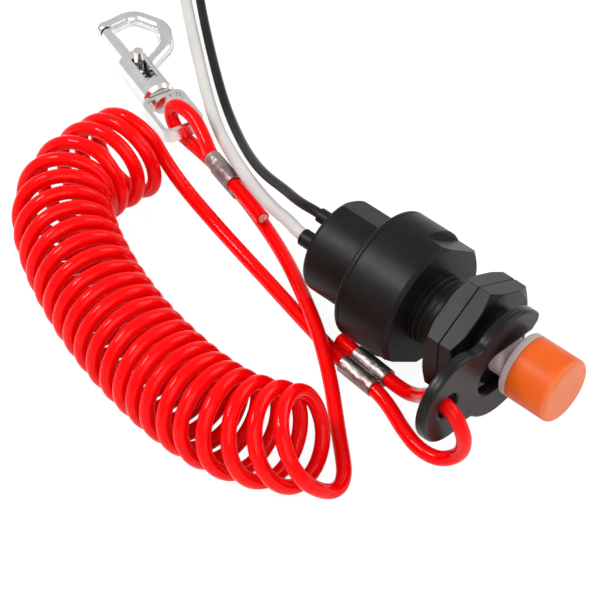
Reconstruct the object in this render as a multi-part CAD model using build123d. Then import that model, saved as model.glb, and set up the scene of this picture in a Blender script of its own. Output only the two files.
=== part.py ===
from build123d import *
import os
from math import cos, sin, tan, radians, sqrt, pi

os.makedirs("parts", exist_ok=True)

# Engine kill switch with a coiled lanyard, lying on a table
# X runs along the switch towards the button, Z is up
# The origin is on the switch's axis, where the panel meets the housing's front shoulder

# Sizes of the housing
housing_r = 16.85
housing_back_x = -14.5
housing_edge = 1.0
seam_edge = 0.2
flat_dist = 14.8
flat_length = 5.8
flat_angle = -40.0
cavity_r = 13.6
front_wall = 3.0

# Sizes of the threaded shank and its nuts
shank_r = 9.0
shank_length = 20.6
panel_room = 8.1
nut_flats = 27.0
nut_width = 4.45
nut_chamfer = 2.0
nut_chamfer_angle = 30.0
nut_seam = 0.2
thread_clear = 0.05

# Sizes of the rear cover
rim_width = 1.5
rim_round = 0.8
tail_r = 12.2
tail_length = 14.5
tail_round = 1.6
tail_flat_dist = 11.4
tail_flat_angle = -28.0
cover_wall = 1.8
spigot_length = 1.5
spigot_clear = 0.05
boss_length = 3.0
boss_wall = 0.5

# Sizes of the plunger and its cap
stem_r = 5.0
stem_clear = 0.05
nose_r = 1.6
nose_length = 1.6
collar_r = 8.0
collar_width = 1.9
cap_length = 11.3
cap_round = 1.2
spigot_r = 5.6
cap_wall = 2.7
press_travel = 1.5
ring_r = 7.4
ring_width = 1.0
ring_gap = 0.2
ring_groove = 0.7

# Sizes of the seal in the shank's mouth
seal_wire_r = 0.9
seal_setback = 3.0

# Sizes of the contacts
carrier_back_x = -13.0
carrier_width = 1.9
bridge_r = 11.6
bridge_width = 0.8
contact_gap = 0.3
contact_head_r = 1.9
contact_head = 1.1
contact_stem_r = 1.1
tag_length = 4.0
cup_wall = 0.4
spring_r = 3.4
spring_wire = 0.8
spring_turns = 3
spring_seat = 0.6

# Sizes of the lock clip
clip_gap_back = 0.2
clip_gap_front = 1.8
clip_thick = 3.0
clip_round = 0.7
clip_turn = 9.2
fork_centre_u = 3.0
fork_r = 14.0
fork_end_u = -7.4
fork_corner = 1.4
lead_in = 2.0
neck_half = 10.0
neck_end_u = 19.0
neck_fillet = 3.0
tab_centre_u = 20.5
tab_r = 11.2
slot_side_clear = 0.7
slot_drop = 0.3
slot_end_u = 12.4
cord_hole_u = 23.6
cord_hole_r = 3.1

# Sizes of the cord, its coil and the ferrules
cord_d = 3.6
coil_outer_r = 12.65
ferrule_wall = 0.45
ferrule_pitch = 4.3
ferrule_bore_clear = 0.05

# Sizes of the two wires, their put-away coils and their bullet terminals
white_d = 3.2
black_d = 2.5
wire_clear = 0.05
wire_coil_ratio = 5.5
wire_coil_turns = 2
terminal_length = 12.0
terminal_pin_r = 2.0
terminal_rest = 3.6

# Sizes of the snap hook at the lanyard's far end
eye_window = 12.0
eye_half = 4.8
eye_strap = 1.1
eye_height = 3.8
eye_corner = 2.4
post_r = 1.6
post_head_r = 2.8
post_head = 1.2
post_clear = 0.1
barrel_r = 4.6
barrel_length = 16.0
barrel_gap = 0.15
bolt_r = 1.7
bolt_clear = 0.1
hook_bar_r = 2.1
hook_reach = 15.0
hook_width = 12.0
hook_tip = 1.1
hook_tip_swell = 0.3
hook_bend_r = 5.0
hook_bends = [(-0.27, -0.17), (0.1, -0.92), (0.6, -1.17), (1.17, -0.75), (1.08, 0.04)]
thumb_r = 1.3
thumb_height = 3.4
bolt_travel = 6.0
bolt_seat = 3.0
bolt_overlap = 6.0
bolt_spring_wire = 0.4
bolt_spring_r = 1.2
bolt_spring_turns = 5

# Places worked out from the sizes
table_z = -housing_r
rim_back_x = housing_back_x - rim_width
tail_back_x = rim_back_x - tail_length
seal_x = shank_length - seal_setback
clip_x = shank_length + clip_gap_back
collar_x = clip_x + clip_thick + clip_gap_front
cap_x = collar_x + collar_width
cap_end_x = cap_x + cap_length
carrier_front_x = carrier_back_x + carrier_width
contact_front_x = carrier_front_x + contact_head
bridge_back_x = contact_front_x + press_travel + contact_gap
stem_back_x = bridge_back_x + bridge_width
barrel_start = eye_window + 1.5 * eye_strap + barrel_gap
barrel_end = barrel_start + barrel_length
cord_r = cord_d / 2
white_exit = (-7.7, 5.8)
black_exit = (-1.9, 8.8)
eye_height_z = table_z + 6.0


def h(height):
    """A height above the table, as a z value."""
    return table_z + height


def rod(x0, x1, r, y=0.0, z=0.0):
    """A round bar along X from x0 to x1."""
    return Pos((x0 + x1) / 2, y, z) * Rot(0, 90, 0) * Cylinder(r, abs(x1 - x0))


def turned(points):
    """A solid of revolution about X from (x, radius) points."""
    face = make_face(Polyline(*[(x, r, 0) for x, r in points], close=True))
    return revolve(face, Axis.X)


def cup_outer(wire_d):
    """The outer radius of a contact's solder cup."""
    return wire_d / 2 + wire_clear + cup_wall


def edge_at(shape, x, r, spread=0.05):
    """The round edges of a turned solid that lie at x with radius r."""
    found = []
    for edge in shape.edges().filter_by(GeomType.CIRCLE):
        centre = edge.arc_center
        if abs(centre.X - x) < spread and abs(edge.radius - r) < spread:
            found.append(edge)
    return found


def face_edges(solid, x0, x1):
    """The edges of a solid that lie in its end faces at x0 and x1."""
    found = []
    for edge in solid.edges():
        if min(abs(edge.center().X - x0), abs(edge.center().X - x1)) < 0.01:
            found.append(edge)
    return found


def flats(x0, x1, dist, angle):
    """Two blocks that cut parallel flats at dist from the axis."""
    depth = 2 * housing_r
    block = Box(x1 - x0, 3 * housing_r, depth)
    cuts = []
    for turn in (angle, angle + 180):
        cuts.append(Rot(turn, 0, 0) * Pos((x0 + x1) / 2, 0, dist + depth / 2) * block)
    return cuts


def bend_radii(points):
    """One radius per corner: as large as the two runs beside it allow."""
    radii = []
    for a, b, c in zip(points, points[1:], points[2:]):
        first = Vector(*b) - Vector(*a)
        second = Vector(*c) - Vector(*b)
        half_turn = radians(first.get_angle(second)) / 2
        radii.append(0.45 * min(first.length, second.length) / tan(half_turn))
    return radii


def cord(name, points, diameter):
    """A round cord along straight runs joined by arcs."""
    radii = bend_radii(points)
    path = FilletPolyline(*points, radius=radii)
    start = Plane(origin=path @ 0, z_dir=path % 0)
    solid = sweep(start * Circle(diameter / 2), path)
    share = solid.volume / (pi * diameter ** 2 / 4 * path.length)
    tightest = min(radii) / diameter
    print(f"{name}: length {path.length:.1f}, least radius {tightest:.1f} diameters, volume share {share:.4f}")
    return solid


# Housing: the moulded body that carries the panel shoulder and the threaded shank
def make_housing():
    body = turned([
        (housing_back_x, 0), (housing_back_x, housing_r), (0, housing_r), (0, shank_r),
        (shank_length, shank_r), (shank_length, 0),
    ])
    body = chamfer(edge_at(body, 0, housing_r), housing_edge)
    body = chamfer(edge_at(body, housing_back_x, housing_r), seam_edge)
    body = chamfer(edge_at(body, shank_length, shank_r), 0.6)
    for cut in flats(-flat_length, 0.01, flat_dist, flat_angle):
        body -= cut - rod(-flat_length - 1, 1, shank_r + 0.5)
    body -= rod(housing_back_x - 1, -front_wall, cavity_r)
    body -= rod(-front_wall - 1, shank_length + 1, stem_r + stem_clear)
    body -= rod(seal_x - seal_wire_r, seal_x + seal_wire_r, stem_r + 2 * seal_wire_r + 0.1)
    return body


# Rear cover: rim, tail with two flats, hollow inside, and a boss for each wire
def make_rear_cover():
    inner_r = tail_r - cover_wall
    spigot_outer = cavity_r - spigot_clear
    cover = turned([
        (tail_back_x, 0), (tail_back_x, tail_r), (rim_back_x, tail_r), (rim_back_x, housing_r),
        (housing_back_x, housing_r), (housing_back_x, spigot_outer),
        (housing_back_x + spigot_length, spigot_outer), (housing_back_x + spigot_length, 0),
    ])
    cover = fillet(edge_at(cover, tail_back_x, tail_r), tail_round)
    cover = fillet(edge_at(cover, rim_back_x, housing_r), rim_round)
    cover = chamfer(edge_at(cover, housing_back_x, housing_r), seam_edge)
    for cut in flats(tail_back_x - 1, rim_back_x, tail_flat_dist, tail_flat_angle):
        cover -= cut
    cover -= rod(tail_back_x + cover_wall, housing_back_x + spigot_length + 1, inner_r)
    for (y, z), wire_d in ((white_exit, white_d), (black_exit, black_d)):
        bore = wire_d / 2 + wire_clear
        cover -= rod(tail_back_x + cover_wall, housing_back_x + spigot_length + 1, cup_outer(wire_d) + 0.1, y, z)
        cover += rod(tail_back_x - boss_length, tail_back_x + cover_wall, bore + boss_wall, y, z)
        cover -= rod(tail_back_x - boss_length - 1, tail_back_x + cover_wall + 1, bore, y, z)
    return cover


# Nuts: two hexagons that jam against each other on the shank, each chamfered on its outward face
def make_nut(x0, rear_cut, front_cut):
    x1 = x0 + nut_width
    seat = Plane(origin=(x0, 0, 0), x_dir=(0, 0, 1), z_dir=(1, 0, 0))
    hexagon = RegularPolygon(nut_flats / 2, 6, major_radius=False)
    block = extrude(seat * hexagon, nut_width)
    block = chamfer(face_edges(block, x0, x1), nut_seam)
    corner_r = nut_flats / sqrt(3)
    slope = tan(radians(nut_chamfer_angle))
    rounded = turned([
        (x0, 0), (x0, corner_r - rear_cut), (x0 + rear_cut * slope, corner_r),
        (x1 - front_cut * slope, corner_r), (x1, corner_r - front_cut), (x1, 0),
    ])
    return (block & rounded) - rod(x0 - 1, x1 + 1, shank_r + thread_clear)


# Lock clip: a flat fork round the plunger's stem with a round tab for the cord
def make_lock_clip():
    turn = radians(clip_turn)
    plane = Plane(origin=(clip_x, 0, 0), x_dir=(0, -cos(turn), sin(turn)), z_dir=(1, 0, 0))
    slot_half = stem_r + slot_side_clear
    fork = Pos(fork_centre_u, 0) * Circle(fork_r)
    fork -= Pos(fork_end_u - fork_r, 0) * Rectangle(2 * fork_r, 3 * fork_r)
    neck_length = neck_end_u - fork_centre_u
    outline = fork + Pos(fork_centre_u + neck_length / 2, 0) * Rectangle(neck_length, 2 * neck_half)
    outline += Pos(tab_centre_u, 0) * Circle(tab_r)
    waist = outline.vertices().filter_by_position(Axis.X, fork_centre_u, neck_end_u)
    outline = fillet(waist, neck_fillet)
    slot_centre = slot_end_u - slot_half
    slot_length = slot_centre - fork_end_u + lead_in
    outline -= Pos(slot_centre - slot_length / 2, slot_drop) * Rectangle(slot_length, 2 * slot_half)
    outline -= Pos(slot_centre, slot_drop) * Circle(slot_half)
    mouth_half = slot_half + 2 * lead_in
    mouth = Polyline(
        (fork_end_u + lead_in, -slot_half), (fork_end_u + lead_in, slot_half),
        (fork_end_u - lead_in, mouth_half), (fork_end_u - lead_in, -mouth_half), close=True)
    outline -= Pos(0, slot_drop) * make_face(mouth)
    tips = outline.vertices().filter_by_position(Axis.X, fork_end_u - 0.1, fork_end_u + 0.1)
    outline = fillet(tips, fork_corner)
    outline -= Pos(cord_hole_u, 0) * Circle(cord_hole_r)
    clip = extrude(plane * outline, clip_thick)
    return fillet(face_edges(clip, clip_x, clip_x + clip_thick), clip_round)


# Plunger: stem, collar and the spigot inside the cap
def make_plunger():
    groove_x = -front_wall - ring_gap - ring_width
    plunger = turned([
        (stem_back_x - nose_length, 0), (stem_back_x - nose_length, nose_r), (stem_back_x, nose_r),
        (stem_back_x, stem_r), (groove_x - 0.05, stem_r), (groove_x - 0.05, stem_r - ring_groove),
        (groove_x + ring_width + 0.05, stem_r - ring_groove), (groove_x + ring_width + 0.05, stem_r),
        (collar_x, stem_r), (collar_x, collar_r), (cap_x, collar_r), (cap_x, spigot_r),
        (cap_end_x - cap_wall, spigot_r), (cap_end_x - cap_wall, 0),
    ])
    return chamfer(edge_at(plunger, collar_x, collar_r), 0.3)


# Button cap: the coloured cup pressed on the spigot
def make_button_cap():
    cap = turned([
        (cap_x, spigot_r + 0.02), (cap_x, collar_r), (cap_end_x, collar_r), (cap_end_x, 0),
        (cap_end_x - cap_wall + 0.05, 0), (cap_end_x - cap_wall + 0.05, spigot_r + 0.02),
    ])
    return fillet(edge_at(cap, cap_end_x, collar_r), cap_round)


# Retaining ring: stops the stem at the inside of the front wall
def make_retaining_ring():
    x1 = -front_wall - ring_gap
    ring = rod(x1 - ring_width, x1, ring_r) - rod(x1 - ring_width - 1, x1 + 1, stem_r - ring_groove + 0.05)
    opening = Pos(x1 - ring_width / 2, 0, -ring_r) * Box(3 * ring_width, stem_r, 2 * ring_r)
    return ring - opening


# Seal: a rubber ring in the groove near the shank's mouth
def make_stem_seal():
    middle_r = stem_r + seal_wire_r + 0.05
    return Pos(seal_x, 0, 0) * Rot(0, 90, 0) * Torus(middle_r, seal_wire_r)


# Contact bridge: a brass disc on the plunger's nose
def make_contact_bridge():
    disc = rod(bridge_back_x, bridge_back_x + bridge_width, bridge_r)
    return disc - rod(bridge_back_x - 1, bridge_back_x + bridge_width + 1, nose_r + 0.02)


# Contact carrier: the insulating disc that holds the two contacts
def make_contact_carrier():
    disc = rod(carrier_back_x, carrier_front_x, cavity_r - spigot_clear)
    for y, z in (white_exit, black_exit):
        disc -= rod(carrier_back_x - 1, carrier_front_x + 1, contact_stem_r + 0.02, y, z)
    disc -= rod(carrier_front_x - spring_seat, carrier_front_x + 1, spring_r + spring_wire)
    return disc


# Contacts: a head towards the bridge, a stem and a solder cup for the wire
def make_contact(place, wire_d):
    y, z = place
    contact = rod(carrier_front_x, contact_front_x, contact_head_r, y, z)
    contact += rod(carrier_back_x, carrier_front_x, contact_stem_r, y, z)
    contact += rod(carrier_back_x - tag_length, carrier_back_x, cup_outer(wire_d), y, z)
    return contact - rod(carrier_back_x - tag_length - 1, carrier_back_x - 1, wire_d / 2 + wire_clear, y, z)


# Return spring: pushes the plunger out, from the carrier to the bridge
def make_return_spring():
    x0 = carrier_front_x - spring_seat + spring_wire / 2
    x1 = bridge_back_x - spring_wire / 2 - 0.05
    path = Helix(pitch=(x1 - x0) / spring_turns, height=x1 - x0, radius=spring_r)
    section = Plane(origin=path @ 0, z_dir=path % 0) * Rectangle(spring_wire, spring_wire)
    coil = sweep(section, path, is_frenet=True)
    return Pos(x0, 0, 0) * Rot(0, 90, 0) * coil


# Ferrule: two crimped barrels side by side with a web between them
def make_ferrule(start, end, offset):
    a = Vector(*start)
    b = Vector(*end)
    off = Vector(*offset)
    along = (b - a).normalized()
    across = (off - along * off.dot(along)).normalized()
    plane = Plane(origin=a, x_dir=across, z_dir=along)
    outer_r = cord_r + ferrule_bore_clear + ferrule_wall
    section = Circle(outer_r) + Pos(ferrule_pitch, 0) * Circle(outer_r)
    section += Pos(ferrule_pitch / 2, 0) * Rectangle(ferrule_pitch, 1.1 * outer_r)
    section -= Circle(cord_r + ferrule_bore_clear)
    section -= Pos(ferrule_pitch, 0) * Circle(cord_r + ferrule_bore_clear)
    return extrude(plane * section, (b - a).length)


# Put-away wire coil: the closed outer shape of two stacked turns
def make_wire_coil(centre, diameter):
    middle_r = wire_coil_ratio * diameter
    height = (wire_coil_turns + 1) * diameter
    ring = Cylinder(middle_r + diameter / 2, height) - Cylinder(middle_r - diameter / 2, height + 1)
    return Pos(centre.X, centre.Y, h(height / 2)) * ring


# Bullet terminal: crimp barrel, neck and round nose
def make_terminal(point, direction, wire_d):
    plane = Plane(origin=point, x_dir=(0, 0, 1), z_dir=direction)
    barrel_r_t = wire_d / 2 + 0.4
    profile = [
        (0, 0), (barrel_r_t, 0), (barrel_r_t, 0.45 * terminal_length), (0.7 * terminal_pin_r, 0.52 * terminal_length),
        (0.7 * terminal_pin_r, 0.6 * terminal_length), (terminal_pin_r, 0.66 * terminal_length),
        (terminal_pin_r, 0.9 * terminal_length), (0.5 * terminal_pin_r, terminal_length), (0, terminal_length),
    ]
    face = make_face(Polyline(*[(r, 0, z) for r, z in profile], close=True))
    return plane.location * revolve(face, Axis.Z)


# Snap hook: all of it is drawn along +X from the eye's crossbar, then laid on its line
hook_angle = 162.5
hook_origin = (-93.0, 12.2, eye_height_z)
hook_line = Pos(*hook_origin) * Rot(0, 0, hook_angle)


def make_hook_eye():
    length = eye_window + 2 * eye_strap
    outer = RectangleRounded(length, 2 * (eye_half + eye_strap), eye_corner)
    inner = RectangleRounded(eye_window, 2 * eye_half, eye_corner - eye_strap)
    eye = extrude(outer - inner, eye_height / 2, both=True)
    eye = Pos(length / 2 - eye_strap / 2, 0, 0) * eye
    return hook_line * (eye - rod(eye_window - 1, length + 1, post_r + post_clear))


def make_hook_body():
    head_x = eye_window + eye_strap / 2 - post_head - 0.1
    post = rod(head_x, head_x + post_head, post_head_r) + rod(head_x, barrel_start + 1, post_r)
    barrel = rod(barrel_start, barrel_start + barrel_length, barrel_r)
    barrel = chamfer(edge_at(barrel, barrel_start, barrel_r), 0.8)
    end_x = barrel_end
    tip_x = end_x + hook_reach
    corners = [(end_x + a * hook_reach, b * hook_width, 0) for a, b in hook_bends]
    path = FilletPolyline(*corners, radius=[hook_bend_r] * (len(corners) - 2))
    bar = sweep(Plane(origin=path @ 0, z_dir=path % 0) * Circle(hook_bar_r), path)
    tip = Pos(tip_x + hook_tip, 0, 0) * Sphere(hook_bar_r + hook_tip_swell)
    body = post + barrel + bar + tip
    body -= rod(barrel_start + bolt_seat, end_x + 3, bolt_r + bolt_clear)
    body -= Pos(tip_x - 4, 0, 0) * Box(8, 2 * hook_bar_r, 6)
    slot_x0 = end_x - 3 - bolt_travel - 2 * thumb_r
    slot = Box(bolt_travel + 2 * thumb_r + 0.6, 2 * thumb_r + 0.4, barrel_r + 1)
    body -= Pos(slot_x0 + (bolt_travel + 2 * thumb_r) / 2, 0, (barrel_r + 1) / 2) * slot
    return hook_line * body


def make_hook_bolt():
    bolt = rod(barrel_end - bolt_overlap, barrel_end + hook_reach - 0.4, bolt_r)
    thumb = Pos(barrel_end - 3 - thumb_r, 0, (barrel_r + thumb_height) / 2) * Cylinder(thumb_r, barrel_r + thumb_height)
    return hook_line * (bolt + thumb)


def make_bolt_spring():
    x0 = barrel_start + bolt_seat + bolt_spring_wire / 2 + 0.05
    x1 = barrel_end - bolt_overlap - bolt_spring_wire / 2 - 0.05
    path = Helix(pitch=(x1 - x0) / bolt_spring_turns, height=x1 - x0, radius=bolt_spring_r)
    section = Plane(origin=path @ 0, z_dir=path % 0) * Rectangle(bolt_spring_wire, bolt_spring_wire)
    return hook_line * Pos(x0, 0, 0) * Rot(0, 90, 0) * sweep(section, path, is_frenet=True)


# Routes of the cord and the wires, by hand; each z is a height above the table
clip_loop_route = [
    (-17.9, -11.9, h(1.9)), (-11.6, -12.9, h(2.3)), (-1.2, -13.9, h(2.3)), (5.2, -14.8, h(3.2)),
    (10.3, -16.4, h(7.4)), (15.2, -20.0, h(14.6)), (19.4, -23.2, h(20.6)), (25.1, -23.8, h(20.8)),
    (28.4, -23.6, h(16.2)), (28.6, -22.6, h(10.6)), (27.0, -22.4, h(5.2)), (23.0, -24.2, h(2.0)),
    (17.2, -24.8, h(1.8)), (10.6, -22.6, h(1.8)), (4.4, -19.8, h(2.0)), (-1.6, -18.2, h(2.3)),
    (-12.0, -17.2, h(2.3)),
]
lead_a_route = [
    (-12.0, -17.2, h(2.3)), (-20.0, -15.2, h(2.0)), (-31.0, -12.7, h(1.9)), (-43.5, -9.6, h(1.9)),
    (-55.5, -6.7, h(2.6)), (-67.0, -4.4, h(4.8)), (-78.0, -2.0, h(8.6)), (-87.5, 0.0, h(14.2)),
    (-92.5, -1.0, h(20.0)), (-93.8, -8.5, h(21.6)),
]
coil_route = [
    (-92.1, -6.7, h(coil_outer_r)), (-96.0, -22.8, h(coil_outer_r)), (-87.4, -37.4, h(coil_outer_r)),
    (-56.0, -51.0, h(coil_outer_r)), (-26.0, -56.0, h(coil_outer_r)), (-7.0, -54.4, h(coil_outer_r)),
    (5.0, -46.8, h(coil_outer_r)),
]
lead_b_route = [
    (-0.6, -54.0, h(3.4)), (5.0, -51.2, h(2.4)), (8.9, -47.6, h(1.9)), (9.6, -42.8, h(1.9)),
    (6.4, -38.2, h(1.9)), (-0.4, -32.4, h(2.1)), (-9.6, -24.4, h(3.6)), (-19.8, -17.1, h(6.1)),
    (-30.4, -10.6, h(5.9)), (-43.0, -2.8, h(3.4)), (-56.0, 3.4, h(2.0)), (-69.6, 8.0, h(2.3)),
    (-80.0, 10.9, h(2.3)),
]
hook_loop_route = [
    (-80.0, 10.9, h(2.3)), (-86.4, 12.2, h(1.9)), (-91.6, 12.9, h(1.9)), (-96.2, 13.7, h(1.9)),
    (-99.6, 14.3, h(3.1)), (-100.9, 14.8, h(6.1)), (-99.5, 14.9, h(9.2)), (-95.8, 14.8, h(10.3)),
    (-91.0, 14.2, h(9.8)), (-85.9, 12.2, h(7.8)), (-80.7, 9.4, h(6.2)), (-70.2, 6.3, h(6.2)),
    (-63.4, 4.6, h(6.0)), (-56.4, 2.4, h(6.0)),
]
white_route = [
    (carrier_back_x - tag_length + 2, -7.7, 5.8), (-26.0, -7.7, 5.8), (-35.2, -7.3, 5.6), (-41.6, -4.4, 3.6),
    (-48.4, -1.6, 0.2), (-57.0, 2.3, -2.9), (-66.1, 6.6, -5.6), (-78.0, 13.3, -9.6),
    (-91.0, 21.5, -14.1), (-104.0, 30.8, h(1.6)), (-119.0, 42.2, h(1.6)), (-135.0, 54.5, h(1.6)),
    (-150.0, 66.9, h(1.6)), (-160.0, 75.0, h(1.6)),
]
black_route = [
    (carrier_back_x - tag_length + 2, -1.9, 8.8), (-26.0, -1.9, 8.8), (-34.8, -1.8, 9.0), (-41.6, -0.4, 6.6),
    (-50.0, 3.6, 2.4), (-61.0, 8.0, -2.8), (-72.6, 14.6, -8.4), (-85.4, 23.0, -13.4),
    (-97.6, 31.1, h(1.25)), (-112.0, 41.6, h(1.25)), (-127.0, 53.2, h(1.25)), (-141.0, 64.9, h(1.25)),
    (-150.0, 72.0, h(1.25)),
]


def coil_centre(route, side, diameter):
    """The centre of a flat coil that the route runs into on one side."""
    ahead = (Vector(*route[-1]) - Vector(*route[-2])).normalized()
    across = Vector(-ahead.Y, ahead.X, 0) * side * wire_coil_ratio * diameter
    return Vector(*route[-1]) + across


white_coil_centre = coil_centre(white_route, 1, white_d)
black_coil_centre = coil_centre(black_route, -1, black_d)


def tail_route(side, route, diameter):
    """The last bit of a wire: off the top of its coil and down to the table."""
    ahead = (Vector(*route[-1]) - Vector(*route[-2])).normalized()
    start = Vector(*route[-1])
    top = h((wire_coil_turns + 0.5) * diameter)
    points = []
    for step, drop, bend in ((0, 0, 0), (9, 0.15, 0.4), (18, 0.75, 1.6), (27, 1, 3.6)):
        side_step = Vector(-ahead.Y, ahead.X, 0) * side * bend
        level = top + (h(terminal_rest) - top) * drop
        spot = start + ahead * step + side_step
        points.append((spot.X, spot.Y, level))
    return points


white_tail = tail_route(1, white_route, white_d)
black_tail = tail_route(-1, black_route, black_d)


def last_direction(points):
    """The direction in which a route ends."""
    return (Vector(*points[-1]) - Vector(*points[-2])).normalized()


clip_ferrule_side = Vector(*clip_loop_route[-1]) - Vector(*clip_loop_route[1])
hook_ferrule_side = Vector(*hook_loop_route[-4]) - Vector(*hook_loop_route[0])

shapes = {
    "housing": make_housing(),
    "rear_cover": make_rear_cover(),
    "rear_nut": make_nut(panel_room, nut_chamfer, nut_seam),
    "front_nut": make_nut(panel_room + nut_width, nut_seam, nut_chamfer),
    "lock_clip": make_lock_clip(),
    "plunger": make_plunger(),
    "button_cap": make_button_cap(),
    "retaining_ring": make_retaining_ring(),
    "stem_seal": make_stem_seal(),
    "contact_bridge": make_contact_bridge(),
    "contact_carrier": make_contact_carrier(),
    "contact_white": make_contact(white_exit, white_d),
    "contact_black": make_contact(black_exit, black_d),
    "return_spring": make_return_spring(),
    "clip_ferrule": make_ferrule(clip_loop_route[1], clip_loop_route[2], clip_ferrule_side),
    "hook_ferrule": make_ferrule(lead_b_route[-1], lead_b_route[-2], hook_ferrule_side),
    "clip_loop": cord("clip_loop", clip_loop_route, cord_d),
    "lead_a": cord("lead_a", lead_a_route, cord_d),
    "lanyard_coil": cord("lanyard_coil", coil_route, 2 * coil_outer_r),
    "lead_b": cord("lead_b", lead_b_route, cord_d),
    "hook_loop": cord("hook_loop", hook_loop_route, cord_d),
    "hook_eye": make_hook_eye(),
    "hook_body": make_hook_body(),
    "hook_bolt": make_hook_bolt(),
    "bolt_spring": make_bolt_spring(),
    "white_wire": cord("white_wire", white_route, white_d),
    "black_wire": cord("black_wire", black_route, black_d),
    "white_wire_coil": make_wire_coil(white_coil_centre, white_d),
    "black_wire_coil": make_wire_coil(black_coil_centre, black_d),
    "white_wire_end": cord("white_wire_end", white_tail, white_d),
    "black_wire_end": cord("black_wire_end", black_tail, black_d),
    "white_terminal": make_terminal(white_tail[-1], last_direction(white_tail), white_d),
    "black_terminal": make_terminal(black_tail[-1], last_direction(black_tail), black_d),
}

for name, shape in shapes.items():
    export_step(shape, f"parts/{name}.step")
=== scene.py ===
import bpy
import bmesh
from math import cos, sin, pi, radians
from mathutils import Matrix, Vector


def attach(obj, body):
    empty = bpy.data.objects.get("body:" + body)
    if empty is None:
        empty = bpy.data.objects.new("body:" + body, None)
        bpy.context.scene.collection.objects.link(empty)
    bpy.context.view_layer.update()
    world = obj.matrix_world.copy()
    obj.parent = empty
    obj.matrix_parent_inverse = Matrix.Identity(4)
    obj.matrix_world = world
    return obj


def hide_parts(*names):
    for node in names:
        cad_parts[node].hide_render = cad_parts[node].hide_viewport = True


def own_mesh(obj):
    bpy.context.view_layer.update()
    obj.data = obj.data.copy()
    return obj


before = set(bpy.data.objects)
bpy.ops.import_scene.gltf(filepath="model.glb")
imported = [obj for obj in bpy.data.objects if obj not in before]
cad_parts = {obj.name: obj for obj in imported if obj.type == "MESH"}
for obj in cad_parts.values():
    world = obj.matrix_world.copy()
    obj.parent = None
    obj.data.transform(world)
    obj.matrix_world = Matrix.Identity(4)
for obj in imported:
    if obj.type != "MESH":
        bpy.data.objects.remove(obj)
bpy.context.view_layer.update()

# Camera
# It looks down on the switch from the button's side, 42.5 degrees round and 47 degrees up.
# The lens is long, so the far end of the lanyard hardly shrinks.
camera_place = Vector((0.21053, -0.27529, 0.37247))
camera_round = radians(42.5)
camera_up = radians(47.0)
camera_focal = 131.82
aim = Vector((-sin(camera_round) * cos(camera_up),
              cos(camera_round) * cos(camera_up),
              -sin(camera_up)))
lens = bpy.data.cameras.new("camera")
lens.lens = camera_focal
lens.sensor_width = 36.0
lens.clip_start = 0.01
lens.clip_end = 20.0
camera = bpy.data.objects.new("camera", lens)
camera.location = camera_place
camera.rotation_euler = aim.to_track_quat("-Z", "Y").to_euler()
bpy.context.scene.collection.objects.link(camera)
bpy.context.scene.camera = camera
bpy.context.scene.view_settings.view_transform = "Standard"

# Lanyard cord
# One length of round red plastic cord, from its cut end by the clip's sleeve to that by the hook's.
# It is wound hot into a right-handed coil, and the two leads are what the winding left straight.
table_z = -0.01685


def above(height):
    """A height above the table in millimetres, as a z value in metres."""
    return table_z + height / 1000


def node_material(name):
    """A new material whose patterns will be read in object coordinates."""
    made = bpy.data.materials.new(name)
    made.use_nodes = True
    made.node_tree.nodes.new("ShaderNodeTexCoord")
    return made


def nodes_of(material):
    """A material's node tree, its shader and its object coordinates."""
    nodes = material.node_tree.nodes
    place = nodes["Texture Coordinate"].outputs["Object"]
    return material.node_tree, nodes["Principled BSDF"], place


def add_noise(tree, place, scale, detail=3.0):
    """A noise pattern over the piece, spread to its full range."""
    usual_low, usual_high = 0.3, 0.7
    noise = tree.nodes.new("ShaderNodeTexNoise")
    noise.inputs["Scale"].default_value = scale
    noise.inputs["Detail"].default_value = detail
    tree.links.new(place, noise.inputs["Vector"])
    return add_spread(tree, noise.outputs["Fac"], usual_low, usual_high, 0.0, 1.0)


def add_spread(tree, value, from_low, from_high, low, high):
    """A value carried from one range to another and held inside it."""
    spread = tree.nodes.new("ShaderNodeMapRange")
    spread.inputs["From Min"].default_value = from_low
    spread.inputs["From Max"].default_value = from_high
    spread.inputs["To Min"].default_value = low
    spread.inputs["To Max"].default_value = high
    tree.links.new(value, spread.inputs["Value"])
    return spread.outputs["Result"]


def add_mix(tree, value, first, second):
    """A colour between two, by a pattern's value."""
    mix = tree.nodes.new("ShaderNodeMix")
    mix.data_type = "RGBA"
    mix.inputs["A"].default_value = (*first, 1.0)
    mix.inputs["B"].default_value = (*second, 1.0)
    tree.links.new(value, mix.inputs["Factor"])
    return mix.outputs["Result"]


def add_bump(tree, shader, value, strength, distance):
    """A fine relief from a pattern's value."""
    bump = tree.nodes.new("ShaderNodeBump")
    bump.inputs["Strength"].default_value = strength
    bump.inputs["Distance"].default_value = distance
    tree.links.new(value, bump.inputs["Height"])
    tree.links.new(bump.outputs["Normal"], shader.inputs["Normal"])


def add_gloss(tree, shader, value, smooth, rough):
    """An uneven gloss, from the smooth end of a pattern to its rough end."""
    tree.links.new(add_spread(tree, value, 0.0, 1.0, smooth, rough), shader.inputs["Roughness"])


def sheath_material(name, dark, light, gloss, shine, wave):
    """Extruded plastic: nearly even colour, and a smooth skin with slight waves."""
    cloud_scale = 90.0
    skin_scale = 900.0
    smoother, rougher = 0.02, 0.03
    wave_strength = 0.02
    wave_depth = 0.00015
    made = node_material(name)
    tree, shader, place = nodes_of(made)
    clouds = add_noise(tree, place, cloud_scale)
    tree.links.new(add_mix(tree, clouds, dark, light), shader.inputs["Base Color"])
    skin = add_noise(tree, place, skin_scale, 2.0)
    add_gloss(tree, shader, skin, gloss - smoother, gloss + rougher)
    add_bump(tree, shader, add_noise(tree, place, wave, 1.0), wave_strength, wave_depth)
    shader.inputs["Specular IOR Level"].default_value = shine
    return made


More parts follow.
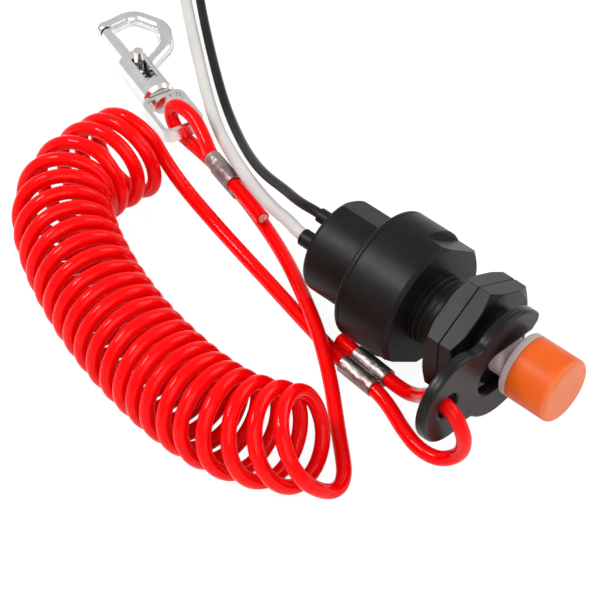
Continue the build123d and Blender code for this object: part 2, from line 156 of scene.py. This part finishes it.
def route_curve(name, points, thickness):
    """One open smooth curve on given points, as thick as the cord."""
    order = 3
    steps_between_points = 6
    quarter_steps = 6
    data = bpy.data.curves.new(name, "CURVE")
    data.dimensions = "3D"
    spline = data.splines.new("NURBS")
    spline.points.add(len(points) - 1)
    for control, point in zip(spline.points, points):
        control.co = (*point, 1.0)
    spline.order_u = order
    spline.use_endpoint_u = True
    spline.resolution_u = steps_between_points
    data.bevel_depth = thickness / 2
    data.bevel_resolution = quarter_steps
    data.use_fill_caps = True
    made = bpy.data.objects.new(name, data)
    bpy.context.scene.collection.objects.link(made)
    return made


def route_line(points):
    """The points of the smooth line on given points, read from its curve."""
    bare = route_curve("bare_line", points, 0.0)
    bare.data.use_fill_caps = False
    bpy.context.view_layer.update()
    smooth_line = bare.evaluated_get(bpy.context.evaluated_depsgraph_get())
    mesh = bpy.data.meshes.new_from_object(smooth_line)
    line = [vertex.co.copy() for vertex in mesh.vertices]
    bpy.data.meshes.remove(mesh)
    bpy.data.objects.remove(bare)
    return line


def at_share(line, share):
    """The place and direction at a share of a line's length."""
    lengths = [0.0]
    for first, second in zip(line, line[1:]):
        lengths.append(lengths[-1] + (second - first).length)
    wanted = share * lengths[-1]
    index = 0
    while index < len(line) - 2 and lengths[index + 1] < wanted:
        index += 1
    first, second = line[index], line[index + 1]
    step = (wanted - lengths[index]) / (lengths[index + 1] - lengths[index])
    before = line[max(index - 2, 0)]
    after = line[min(index + 3, len(line) - 1)]
    return first.lerp(second, step), (after - before).normalized()


cord_thick = 0.0036
coil_mean = 0.01085
coil_turns = 24.3
coil_steps = 14
# Each row: turns wound so far, share of the coil's line, then swing and backward lean in degrees.
coil_rings = [
    (0.0, 0.0, 13.0, -3.0), (1.0, 0.036, 12.0, 3.0), (2.0, 0.078, 10.0, 7.0),
    (3.7, 0.162, 5.0, 8.0), (5.75, 0.254, 0.0, 5.0), (10.8, 0.463, 0.0, -4.0),
    (15.8, 0.656, 0.0, 0.0), (20.85, 0.842, -9.0, 12.0), (21.9, 0.889, -15.0, 19.0),
    (22.9, 0.935, -17.0, 25.0), (24.0, 0.983, -9.0, 29.0), (coil_turns, 1.0, -4.0, 31.0),
]
clip_loop_route = [
    (-0.0179, -0.0119, above(1.9)), (-0.0116, -0.0129, above(2.3)), (-0.0012, -0.0139, above(2.3)),
    (0.0052, -0.0148, above(3.2)), (0.0103, -0.0164, above(7.4)), (0.0152, -0.0200, above(14.6)),
    (0.0194, -0.0232, above(20.6)), (0.0251, -0.0238, above(20.8)), (0.0284, -0.0236, above(16.2)),
    (0.0286, -0.0226, above(10.6)), (0.0270, -0.0224, above(5.2)), (0.0230, -0.0242, above(2.0)),
    (0.0172, -0.0248, above(1.8)), (0.0106, -0.0226, above(1.8)), (0.0044, -0.0198, above(2.0)),
    (-0.0016, -0.0182, above(2.3)), (-0.0120, -0.0172, above(2.3)),
]
lead_a_route = [
    (-0.0200, -0.0152, above(2.0)), (-0.0310, -0.0127, above(1.9)), (-0.0435, -0.0096, above(1.9)),
    (-0.0555, -0.0072, above(2.6)), (-0.0670, -0.0054, above(4.6)), (-0.0770, -0.0046, above(8.4)),
    (-0.0835, -0.0046, above(14.0)), (-0.0862, -0.0056, above(20.4)),
]
coil_height = above(12.85)
coil_route = [
    (-0.0921, -0.0067, coil_height), (-0.0960, -0.0228, coil_height), (-0.0874, -0.0374, coil_height),
    (-0.0560, -0.0510, coil_height), (-0.0260, -0.0560, coil_height), (-0.0074, -0.0538, above(12.2)),
    (0.0040, -0.0450, above(11.8)),
]
lead_b_route = [
    (0.0115, -0.0486, above(3.1)), (0.0118, -0.0450, above(1.9)),
    (0.0098, -0.0414, above(1.9)), (0.0064, -0.0382, above(1.9)), (-0.0004, -0.0324, above(2.1)),
    (-0.0096, -0.0244, above(3.6)), (-0.0198, -0.0171, above(6.1)), (-0.0304, -0.0106, above(5.9)),
    (-0.0430, -0.0028, above(3.4)), (-0.0560, 0.0034, above(2.0)), (-0.0696, 0.0080, above(2.3)),
    (-0.0800, 0.0109, above(2.3)),
]
hook_loop_route = [
    (-0.0864, 0.0122, above(1.9)), (-0.0916, 0.0129, above(1.9)), (-0.0962, 0.0137, above(1.9)),
    (-0.0996, 0.0143, above(3.1)), (-0.1009, 0.0148, above(6.1)), (-0.0995, 0.0149, above(9.2)),
    (-0.0958, 0.0148, above(10.3)), (-0.0910, 0.0142, above(9.8)), (-0.0859, 0.0122, above(7.8)),
    (-0.0807, 0.0094, above(6.2)), (-0.0702, 0.0063, above(6.2)), (-0.0634, 0.0046, above(6.0)),
    (-0.0564, 0.0024, above(6.0)),
]
coil_line = route_line(coil_route)
coil_points = []
steps = round(coil_turns * coil_steps)
reach = coil_mean / cos(pi / coil_steps)
for number in range(steps + 1):
    turn = coil_turns * number / steps
    for before, after in zip(coil_rings, coil_rings[1:]):
        if before[0] <= turn <= after[0]:
            part = (turn - before[0]) / (after[0] - before[0])
            wound, swing, lean = [a + (b - a) * part for a, b in zip(before[1:], after[1:])]
    middle, along = at_share(coil_line, wound)
    along = Matrix.Rotation(radians(swing), 3, "Z") @ along
    side = along.cross(Vector((0, 0, 1))).normalized()
    rise = Matrix.Rotation(radians(lean), 3, side) @ side.cross(along)
    angle = 2 * pi * turn
    coil_points.append(middle + reach * (cos(angle) * rise + sin(angle) * side))
lanyard_points = clip_loop_route + lead_a_route + coil_points + lead_b_route + hook_loop_route
lanyard = route_curve("lanyard_cord", lanyard_points, cord_thick)
red_plastic = sheath_material("red_cord", dark=(0.72, 0.0008, 0.0014), light=(0.79, 0.0012, 0.0020),
                              gloss=0.09, shine=0.13, wave=120.0)
red_shader = nodes_of(red_plastic)[1]
red_shader.inputs["Subsurface Weight"].default_value = 0.5
red_shader.inputs["Subsurface Radius"].default_value = (1.0, 0.1, 0.08)
red_shader.inputs["Subsurface Scale"].default_value = 0.005
lanyard.data.materials.append(red_plastic)
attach(lanyard, "lanyard")
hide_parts("clip_loop", "lead_a", "lanyard_coil", "lead_b", "hook_loop")

# Cut ends of the lanyard cord
# The plastic is extruded over a twisted textile core.
# Where the cord was cut, the core shows as a pale spot that bulges a little out of the red.
core_reach = 0.00125
core_strands = 3
core_strand_swell = 0.07
core_twist_scale = 900.0
core_twist_strength = 0.5
core_twist_depth = 0.0001
core_twist_unevenness = 3.0
core_roughness = 0.8
core_sides = 24
core_rings = [(1.0, -0.0003), (1.0, 0.00008), (0.8, 0.00016), (0.45, 0.0002)]


def cord_core(name, end, inner):
    """A small domed spot of core yarn in the cord's cut face."""
    turned = (Vector(end) - Vector(inner)).to_track_quat("Z", "Y").to_matrix()
    shape = bmesh.new()
    rings = []
    for share, lift in core_rings:
        ring = []
        for number in range(core_sides):
            angle = 2 * pi * number / core_sides
            wide = core_reach * share * (1 + core_strand_swell * cos(core_strands * angle))
            spot = Vector((wide * cos(angle), wide * sin(angle), lift))
            ring.append(shape.verts.new(Vector(end) + turned @ spot))
        rings.append(ring)
    for low, high in zip(rings, rings[1:]):
        for number in range(core_sides):
            after = (number + 1) % core_sides
            shape.faces.new((low[number], low[after], high[after], high[number]))
    shape.faces.new(rings[-1])
    shape.faces.new(list(reversed(rings[0])))
    for face in shape.faces:
        face.smooth = True
    mesh = bpy.data.meshes.new(name)
    shape.to_mesh(mesh)
    shape.free()
    made = bpy.data.objects.new(name, mesh)
    bpy.context.scene.collection.objects.link(made)
    return made


core_yarn = node_material("core_yarn")
tree, shader, place = nodes_of(core_yarn)
twist = tree.nodes.new("ShaderNodeTexWave")
twist.inputs["Scale"].default_value = core_twist_scale
twist.inputs["Distortion"].default_value = core_twist_unevenness
tree.links.new(place, twist.inputs["Vector"])
yarn_colour = add_mix(tree, twist.outputs["Fac"], (0.66, 0.24, 0.22), (0.84, 0.47, 0.42))
tree.links.new(yarn_colour, shader.inputs["Base Color"])
add_bump(tree, shader, twist.outputs["Fac"], core_twist_strength, core_twist_depth)
shader.inputs["Roughness"].default_value = core_roughness
for name, end, inner in (("clip_end_core", clip_loop_route[0], clip_loop_route[1]),
                         ("hook_end_core", hook_loop_route[-1], hook_loop_route[-2])):
    core = cord_core(name, end, inner)
    core.data.materials.append(core_yarn)
    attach(core, "lanyard")

# White wire
# Stranded wire in a soft white sheath, from its contact inside the cover out through the low boss.
# The length that lies beyond the view is put away in two turns, with a bullet terminal on its end.
wire_turns = 2
wire_steps = 14
turn_per_thickness = 5.5
# Each row: how far the end has gone past its turns, how far down of the way, and how far sideways.
wire_end = [(0.0, 0.0, 0.0), (0.009, 0.15, 0.0004), (0.018, 0.75, 0.0016), (0.027, 1.0, 0.0036)]
wire_end_height = 3.6


def put_away(route, side, thickness):
    """Two flat stacked turns after the route's last point, then the end that comes down."""
    last = Vector(route[-1])
    ahead = (last - Vector(route[-2])).normalized()
    across = Vector((-ahead.y, ahead.x, 0)) * side
    middle = last + across * turn_per_thickness * thickness
    points = []
    count = wire_turns * wire_steps
    reach = turn_per_thickness * thickness / cos(pi / wire_steps)
    for number in range(1, count):
        angle = 2 * pi * number / wire_steps
        spot = middle - across * reach * cos(angle) + ahead * reach * sin(angle)
        spot.z = last.z + thickness * 2 * number / count
        points.append(spot)
    top = table_z + (wire_turns + 0.5) * thickness
    for step, drop, bend in wire_end:
        spot = last + ahead * step + across * bend
        spot.z = top + (above(wire_end_height) - top) * drop
        points.append(spot)
    return points


white_thick = 0.0032
white_route = [
    (-0.0150, -0.0077, 0.0058), (-0.0260, -0.0077, 0.0058), (-0.0352, -0.0073, 0.0056),
    (-0.0416, -0.0044, 0.0036), (-0.0484, -0.0016, 0.0002), (-0.0570, 0.0023, -0.0029),
    (-0.0661, 0.0066, -0.0056), (-0.0780, 0.0133, -0.0096), (-0.0910, 0.0215, -0.0141),
    (-0.1040, 0.0308, above(1.6)), (-0.1190, 0.0422, above(1.6)), (-0.1350, 0.0545, above(1.6)),
    (-0.1500, 0.0669, above(1.6)), (-0.1600, 0.0750, above(1.6)),
]
white_points = white_route + put_away(white_route, 1, white_thick)
white_wire = route_curve("white_lead", white_points, white_thick)
white_sheath = sheath_material("white_sheath", dark=(0.50, 0.48, 0.46), light=(0.57, 0.55, 0.52),
                               gloss=0.4, shine=0.35, wave=300.0)
white_wire.data.materials.append(white_sheath)
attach(white_wire, "switch")
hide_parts("white_wire", "white_wire_coil", "white_wire_end")

# Black wire
# Thinner stranded wire in a black sheath, out through the cover's upper boss by the white one.
# Its unseen length is put away in two turns too, with its own bullet terminal.
black_thick = 0.0025
black_route = [
    (-0.0150, -0.0019, 0.0088), (-0.0260, -0.0019, 0.0088), (-0.0348, -0.0018, 0.0090),
    (-0.0416, -0.0004, 0.0066), (-0.0500, 0.0036, 0.0024), (-0.0610, 0.0080, -0.0028),
    (-0.0726, 0.0146, -0.0084), (-0.0854, 0.0230, -0.0134), (-0.0976, 0.0311, above(1.25)),
    (-0.1120, 0.0416, above(1.25)), (-0.1270, 0.0532, above(1.25)), (-0.1410, 0.0649, above(1.25)),
    (-0.1500, 0.0720, above(1.25)),
]
black_points = black_route + put_away(black_route, -1, black_thick)
black_wire = route_curve("black_lead", black_points, black_thick)
black_sheath = sheath_material("black_sheath", dark=(0.006, 0.006, 0.006),
                               light=(0.012, 0.011, 0.011), gloss=0.34, shine=0.18, wave=300.0)
black_wire.data.materials.append(black_sheath)
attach(black_wire, "switch")
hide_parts("black_wire", "black_wire_coil", "black_wire_end")

# Housing
# The big round body, panel shoulder and shank, injection-moulded in one piece of black nylon.
# The mould leaves a fine grain, a slightly uneven gloss and corners that catch a line of light.


def moulded_material(name, dark, light, gloss, shine, grain, corner):
    """Moulded plastic: a fine grain, an uneven gloss, and corners rounded by the mould."""
    cloud_scale = 160.0
    gloss_scale = 420.0
    smoother, rougher = 0.02, 0.03
    grain_scale = 3000.0
    grain_depth = 0.00004
    made = node_material(name)
    tree, shader, place = nodes_of(made)
    clouds = add_noise(tree, place, cloud_scale)
    tree.links.new(add_mix(tree, clouds, dark, light), shader.inputs["Base Color"])
    patches = add_noise(tree, place, gloss_scale)
    add_gloss(tree, shader, patches, gloss - smoother, gloss + rougher)
    add_bump(tree, shader, add_noise(tree, place, grain_scale, 2.0), grain, grain_depth)
    rounded = tree.nodes.new("ShaderNodeBevel")
    rounded.inputs["Radius"].default_value = corner
    tree.links.new(rounded.outputs["Normal"], tree.nodes["Bump"].inputs["Normal"])
    shader.inputs["Specular IOR Level"].default_value = shine
    return made


def give(material, *names):
    """The finish goes on solids whose shape is already right."""
    for name in names:
        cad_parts[name].material_slots[0].material = material


housing_dark = (0.0042, 0.0035, 0.0033)
housing_light = (0.0074, 0.0064, 0.006)
housing_black = moulded_material("black_housing", dark=housing_dark, light=housing_light,
                                 gloss=0.4, shine=0.18, grain=0.3, corner=0.0003)
give(housing_black, "housing")

# Shank thread
# A right-handed thread of 1.5 mm pitch, moulded with the housing in the same black nylon.
# It runs from the shoulder's relief to the shank's front end, and the two nuts turn on it.
thread_pitch = 0.0015
thread_start = 0.0009
thread_end = 0.0195
thread_crest = 0.00918
thread_height = 0.0005
thread_foot = 0.0013
thread_tip = 0.0002
thread_steps = 40
thread_values = {
    "Radius": ("NodeSocketFloat", thread_crest - thread_height / 2),
    "Turns": ("NodeSocketFloat", (thread_end - thread_start) / thread_pitch),
    "Length": ("NodeSocketFloat", thread_end - thread_start),
    "Height": ("NodeSocketFloat", thread_height),
    "Foot": ("NodeSocketFloat", thread_foot),
    "Tip": ("NodeSocketFloat", thread_tip),
    "Start": ("NodeSocketVector", (thread_start, 0.0, 0.0)),
    "Finish": ("NodeSocketMaterial", housing_black),
}
thread_tree = bpy.data.node_groups.new("shank_thread", "GeometryNodeTree")
sockets = {}
for name in thread_values:
    socket = thread_tree.interface.new_socket(name, in_out="INPUT", socket_type=thread_values[name][0])
    sockets[name] = socket.identifier
thread_tree.interface.new_socket("Geometry", in_out="OUTPUT", socket_type="NodeSocketGeometry")
given = thread_tree.nodes.new("NodeGroupInput").outputs
spiral = thread_tree.nodes.new("GeometryNodeCurveSpiral")
spiral.inputs["Resolution"].default_value = thread_steps
for socket, name in (("Start Radius", "Radius"), ("End Radius", "Radius"),
                     ("Rotations", "Turns"), ("Height", "Length")):
    thread_tree.links.new(given[name], spiral.inputs[socket])
upright = thread_tree.nodes.new("GeometryNodeSetCurveNormal")
upright.mode = "Z_UP"
thread_tree.links.new(spiral.outputs["Curve"], upright.inputs["Curve"])
profile = thread_tree.nodes.new("GeometryNodeCurvePrimitiveQuadrilateral")
profile.mode = "TRAPEZOID"
profile.inputs["Offset"].default_value = 0.0
for socket, name in (("Height", "Height"), ("Bottom Width", "Foot"), ("Top Width", "Tip")):
    thread_tree.links.new(given[name], profile.inputs[socket])
profile_turn = thread_tree.nodes.new("GeometryNodeTransform")
profile_turn.inputs["Rotation"].default_value = (0.0, 0.0, radians(90))
thread_tree.links.new(profile.outputs["Curve"], profile_turn.inputs["Geometry"])
sweep = thread_tree.nodes.new("GeometryNodeCurveToMesh")
sweep.inputs["Fill Caps"].default_value = True
thread_tree.links.new(upright.outputs["Curve"], sweep.inputs["Curve"])
thread_tree.links.new(profile_turn.outputs["Geometry"], sweep.inputs["Profile Curve"])
laid = thread_tree.nodes.new("GeometryNodeTransform")
laid.inputs["Rotation"].default_value = (0.0, radians(90), 0.0)
thread_tree.links.new(sweep.outputs["Mesh"], laid.inputs["Geometry"])
thread_tree.links.new(given["Start"], laid.inputs["Translation"])
real = thread_tree.nodes.new("GeometryNodeRealizeInstances")
thread_tree.links.new(laid.outputs["Geometry"], real.inputs["Geometry"])
finish = thread_tree.nodes.new("GeometryNodeSetMaterial")
thread_tree.links.new(real.outputs["Geometry"], finish.inputs["Geometry"])
thread_tree.links.new(given["Finish"], finish.inputs["Material"])
thread_out = thread_tree.nodes.new("NodeGroupOutput")
thread_tree.links.new(finish.outputs["Geometry"], thread_out.inputs["Geometry"])
thread_seed = bpy.data.meshes.new("thread_seed")
thread = bpy.data.objects.new("shank_thread", thread_seed)
bpy.context.scene.collection.objects.link(thread)
winding = thread.modifiers.new("thread", "NODES")
winding.node_group = thread_tree
for name in thread_values:
    winding[sockets[name]] = thread_values[name][1]
bpy.context.view_layer.update()
wound_thread = thread.evaluated_get(bpy.context.evaluated_depsgraph_get())
thread_mesh = bpy.data.meshes.new_from_object(wound_thread)
thread.modifiers.clear()
thread.data = thread_mesh
bpy.data.meshes.remove(thread_seed)
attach(thread, "switch")

# Rear cover
# The rim, the flatted tail and the two wire bosses, moulded in the same black nylon.
# It is pressed into the housing's back, which leaves a fine seam, and its bosses grip the wires.
cover_black = moulded_material("black_cover", dark=housing_dark, light=housing_light,
                               gloss=0.42, shine=0.18, grain=0.3, corner=0.00035)
give(cover_black, "rear_cover")

# Rear nut and front nut
# Two thin hexagons of black nylon, 27 mm across flats, a little smoother than the housing.
# The first clamps the panel against the shoulder, and the second jams it tight.
nut_black = moulded_material("black_nut", dark=(0.0044, 0.0037, 0.0035),
                             light=(0.0076, 0.0067, 0.0063), gloss=0.34, shine=0.18,
                             grain=0.2, corner=0.0003)
give(nut_black, "rear_nut", "front_nut")

# Lock clip
# A flat fork of black nylon that slides over the plunger's stem and holds the button out.
# Its two mould halves met at half its thickness, which leaves a faint line round its edge.
clip_middle_x = 0.0223
parting_half = 0.00012
parting_depth = 0.00008
parting_strength = 0.6
clip_black = moulded_material("black_clip", dark=(0.0036, 0.0030, 0.0028),
                              light=(0.0062, 0.0054, 0.0051), gloss=0.3, shine=0.24,
                              grain=0.2, corner=0.0005)
tree, shader, place = nodes_of(clip_black)
split = tree.nodes.new("ShaderNodeSeparateXYZ")
tree.links.new(place, split.inputs["Vector"])
offset = tree.nodes.new("ShaderNodeMath")
offset.operation = "SUBTRACT"
offset.inputs[1].default_value = clip_middle_x
tree.links.new(split.outputs["X"], offset.inputs[0])
apart = tree.nodes.new("ShaderNodeMath")
apart.operation = "ABSOLUTE"
tree.links.new(offset.outputs["Value"], apart.inputs[0])
parting = tree.nodes.new("ShaderNodeBump")
parting.inputs["Strength"].default_value = parting_strength
parting.inputs["Distance"].default_value = parting_depth
ridge = add_spread(tree, apart.outputs["Value"], 0.0, parting_half, 1.0, 0.0)
tree.links.new(ridge, parting.inputs["Height"])
tree.links.new(tree.nodes["Bump"].outputs["Normal"], parting.inputs["Normal"])
tree.links.new(parting.outputs["Normal"], shader.inputs["Normal"])
give(clip_black, "lock_clip")

# Plunger
# The pale stem and collar that carry the button, moulded in off-white acetal with a faint pink cast.
# The stem slides in the shank's bore, and the clip sits between the shank's end and the collar.
plunger_pale = moulded_material("white_plunger", dark=(0.42, 0.33, 0.32), light=(0.50, 0.41, 0.39),
                                gloss=0.4, shine=0.25, grain=0.15, corner=0.0003)
give(plunger_pale, "plunger")

# Button cap
# A cap of orange nylon, moulded with a softly rounded rim and pressed on the plunger's end.
# Its face is coloured a paler orange than its side, in uneven patches.
cap_side_end = 0.0372
cap_face_start = 0.0387
face_patch_scale = 300.0
face_patch_least = 0.55
pale_face_orange = (0.68, 0.19, 0.075)
cap_orange = moulded_material("orange_cap", dark=(0.62, 0.085, 0.006), light=(0.68, 0.105, 0.009),
                              gloss=0.38, shine=0.2, grain=0.15, corner=0.0005)
tree, shader, place = nodes_of(cap_orange)
split = tree.nodes.new("ShaderNodeSeparateXYZ")
tree.links.new(place, split.inputs["Vector"])
# The face is mixed towards a paler orange in uneven patches, and the side keeps the full colour.
face_paling = tree.nodes.new("ShaderNodeMath")
face_paling.operation = "MULTIPLY"
facing = add_spread(tree, split.outputs["X"], cap_side_end, cap_face_start, 0.0, 1.0)
face_patches = add_spread(tree, add_noise(tree, place, face_patch_scale, 4.0), 0.0, 1.0, face_patch_least, 1.0)
tree.links.new(facing, face_paling.inputs[0])
tree.links.new(face_patches, face_paling.inputs[1])
fade = tree.nodes.new("ShaderNodeMix")
fade.data_type = "RGBA"
fade.inputs["B"].default_value = (*pale_face_orange, 1.0)
tree.links.new(face_paling.outputs["Value"], fade.inputs["Factor"])
tree.links.new(shader.inputs["Base Color"].links[0].from_socket, fade.inputs["A"])
tree.links.new(fade.outputs["Result"], shader.inputs["Base Color"])
shader.inputs["Subsurface Weight"].default_value = 0.1
shader.inputs["Subsurface Radius"].default_value = (1.0, 0.3, 0.1)
shader.inputs["Subsurface Scale"].default_value = 0.002
give(cap_orange, "button_cap")

# Stem seal
# A moulded ring of soft black rubber, dull beside the nylon.
# It sits in a groove near the shank's mouth and keeps rain out round the stem.
seal_rubber = moulded_material("seal_rubber", dark=(0.008, 0.008, 0.008),
                               light=(0.014, 0.014, 0.014), gloss=0.62, shine=0.5,
                               grain=0.4, corner=0.0001)
give(seal_rubber, "stem_seal")

# Retaining ring, return spring and bolt spring
# The ring is stamped from spring strip and snaps on the stem's inner end, which keeps it in.
# The springs are wound from drawn wire, and shorten from their fixed ends as they are pressed.
spring_weld = 0.000002


def metal_material(name, dark, light, gloss, scratch):
    """Bare or plated metal with fine handling marks."""
    cloud_scale = 240.0
    gloss_scale = 1500.0
    smoother, rougher = 0.05, 0.1
    scratch_scale = 2600.0
    scratch_depth = 0.00005
    made = node_material(name)
    tree, shader, place = nodes_of(made)
    clouds = add_noise(tree, place, cloud_scale)
    tree.links.new(add_mix(tree, clouds, dark, light), shader.inputs["Base Color"])
    patches = add_noise(tree, place, gloss_scale)
    add_gloss(tree, shader, patches, gloss - smoother, gloss + rougher)
    add_bump(tree, shader, add_noise(tree, place, scratch_scale), scratch, scratch_depth)
    shader.inputs["Metallic"].default_value = 1.0
    return made


spring_steel = metal_material("spring_steel", dark=(0.45, 0.45, 0.46), light=(0.6, 0.6, 0.61),
                              gloss=0.3, scratch=0.2)
give(spring_steel, "retaining_ring")


def wound_spring(name, node, body):
    """A spring with the shape of its solid, welded into one piece and carried by its body."""
    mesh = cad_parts[node].data.copy()
    mesh.materials.clear()
    mesh.materials.append(spring_steel)
    shape = bmesh.new()
    shape.from_mesh(mesh)
    bmesh.ops.remove_doubles(shape, verts=shape.verts, dist=spring_weld)
    shape.to_mesh(mesh)
    shape.free()
    piece = bpy.data.objects.new(name, mesh)
    bpy.context.scene.collection.objects.link(piece)
    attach(piece, body)
    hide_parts(node)
    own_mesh(piece)


wound_spring("return_coil", "return_spring", "switch")
wound_spring("bolt_coil", "bolt_spring", "hook")

# Contacts
# The bridge on the plunger's nose and the two studs that it joins are brass.
# The studs are riveted in a disc punched from paper laminate, and the wires soldered in their cups.
contact_brass = metal_material("contact_brass", dark=(0.66, 0.44, 0.19), light=(0.78, 0.56, 0.27),
                               gloss=0.28, scratch=0.15)
give(contact_brass, "contact_bridge", "contact_white", "contact_black")
carrier_board = moulded_material("insulator", dark=(0.50, 0.40, 0.27), light=(0.60, 0.50, 0.36),
                                 gloss=0.6, shine=0.5, grain=0.4, corner=0.0001)
give(carrier_board, "contact_carrier")

# Clip sleeve and hook sleeve
# Double-barrel sleeves of soft aluminium tube, pressed on the two cords by a crimping tool.
# The tool's jaws leave dull, slightly dented patches along the barrels.
dent_scale = 420.0
dent_depth = 0.0004
dent_strength = 0.55
# The pink tint in these colours is painted reflection of the red cord, not the aluminium's own colour.
sleeve_metal = metal_material("ferrule_metal", dark=(0.24, 0.19, 0.19), light=(0.43, 0.36, 0.355),
                              gloss=0.4, scratch=0.3)
tree, shader, place = nodes_of(sleeve_metal)
dents = tree.nodes.new("ShaderNodeBump")
dents.inputs["Strength"].default_value = dent_strength
dents.inputs["Distance"].default_value = dent_depth
tree.links.new(add_noise(tree, place, dent_scale, 1.0), dents.inputs["Height"])
tree.links.new(tree.nodes["Bump"].outputs["Normal"], dents.inputs["Normal"])
tree.links.new(dents.outputs["Normal"], shader.inputs["Normal"])
give(sleeve_metal, "clip_ferrule", "hook_ferrule")

# Hook eye, hook body and hook bolt
# A bent strap, a zinc casting and a turned bolt under one coat of bright nickel.
# The coat is a little cloudy where the casting was rough. The casting's post turns in the strap.
nickel = metal_material("nickel", dark=(0.80, 0.79, 0.77), light=(0.90, 0.89, 0.88),
                        gloss=0.16, scratch=0.08)
give(nickel, "hook_eye", "hook_body", "hook_bolt")

# White terminal and black terminal
# Bullet terminals stamped and rolled from brass strip.
# They are crimped on the wires' stripped ends and push into sockets on the machine's loom.
terminal_brass = metal_material("terminal_brass", dark=(0.68, 0.47, 0.21), light=(0.80, 0.60, 0.30),
                                gloss=0.24, scratch=0.12)
give(terminal_brass, "white_terminal", "black_terminal")

# Studio
# A white sheet under the object, a pale sky round it and three soft lamps above it.
# The sheet looks pure white to the lens, and greyer in the object's own reflections.
floor_half = 2.0
floor_gap = 0.00002
floor_grey = 0.86
floor_glow = 1.1
glow_to_lens = 0.84
glow_to_mirrors = 0.3
world_light = 0.62
lamps_aim = (-0.04, -0.01, 0.0)
floor_z = table_z - floor_gap
floor_mesh = bpy.data.meshes.new("floor")
floor_corners = [(-floor_half, -floor_half, floor_z), (floor_half, -floor_half, floor_z),
                 (floor_half, floor_half, floor_z), (-floor_half, floor_half, floor_z)]
floor_mesh.from_pydata(floor_corners, [], [(0, 1, 2, 3)])
floor = bpy.data.objects.new("floor", floor_mesh)
bpy.context.scene.collection.objects.link(floor)
paper = bpy.data.materials.new("paper")
paper.use_nodes = True
tree = paper.node_tree
tree.nodes.clear()
output = tree.nodes.new("ShaderNodeOutputMaterial")
diffuse = tree.nodes.new("ShaderNodeBsdfDiffuse")
diffuse.inputs["Color"].default_value = (floor_grey, floor_grey, floor_grey, 1)
glow = tree.nodes.new("ShaderNodeEmission")
glow.inputs["Color"].default_value = (1, 1, 1, 1)
glow.inputs["Strength"].default_value = floor_glow
blend = tree.nodes.new("ShaderNodeMixShader")
ray = tree.nodes.new("ShaderNodeLightPath")
lens_share = tree.nodes.new("ShaderNodeMath")
lens_share.operation = "MULTIPLY"
lens_share.inputs[1].default_value = glow_to_lens
tree.links.new(ray.outputs["Is Camera Ray"], lens_share.inputs[0])
mirror_share = tree.nodes.new("ShaderNodeMath")
mirror_share.operation = "MULTIPLY"
mirror_share.inputs[1].default_value = glow_to_mirrors
tree.links.new(ray.outputs["Is Glossy Ray"], mirror_share.inputs[0])
share = tree.nodes.new("ShaderNodeMath")
share.operation = "ADD"
tree.links.new(lens_share.outputs[0], share.inputs[0])
tree.links.new(mirror_share.outputs[0], share.inputs[1])
tree.links.new(share.outputs[0], blend.inputs[0])
tree.links.new(diffuse.outputs[0], blend.inputs[1])
tree.links.new(glow.outputs[0], blend.inputs[2])
tree.links.new(blend.outputs[0], output.inputs["Surface"])
floor_mesh.materials.append(paper)

world = bpy.data.worlds.new("studio")
bpy.context.scene.world = world
world.use_nodes = True
sky = world.node_tree.nodes["Background"]
sky.inputs["Color"].default_value = (1, 1, 1, 1)
sky.inputs["Strength"].default_value = world_light


def softbox(name, place, size, power):
    """A square lamp aimed at the middle of the part."""
    data = bpy.data.lights.new(name, "AREA")
    data.shape = "SQUARE"
    data.size = size
    data.energy = power
    made = bpy.data.objects.new(name, data)
    made.location = place
    made.rotation_euler = (Vector(lamps_aim) - Vector(place)).to_track_quat("-Z", "Y").to_euler()
    bpy.context.scene.collection.objects.link(made)


softbox("key", (-0.42, -0.38, 0.64), size=0.26, power=4.4)
softbox("fill", (0.45, -0.35, 0.5), size=0.6, power=2.5)
softbox("back", (0.3, 0.6, 0.5), size=0.5, power=2.5)
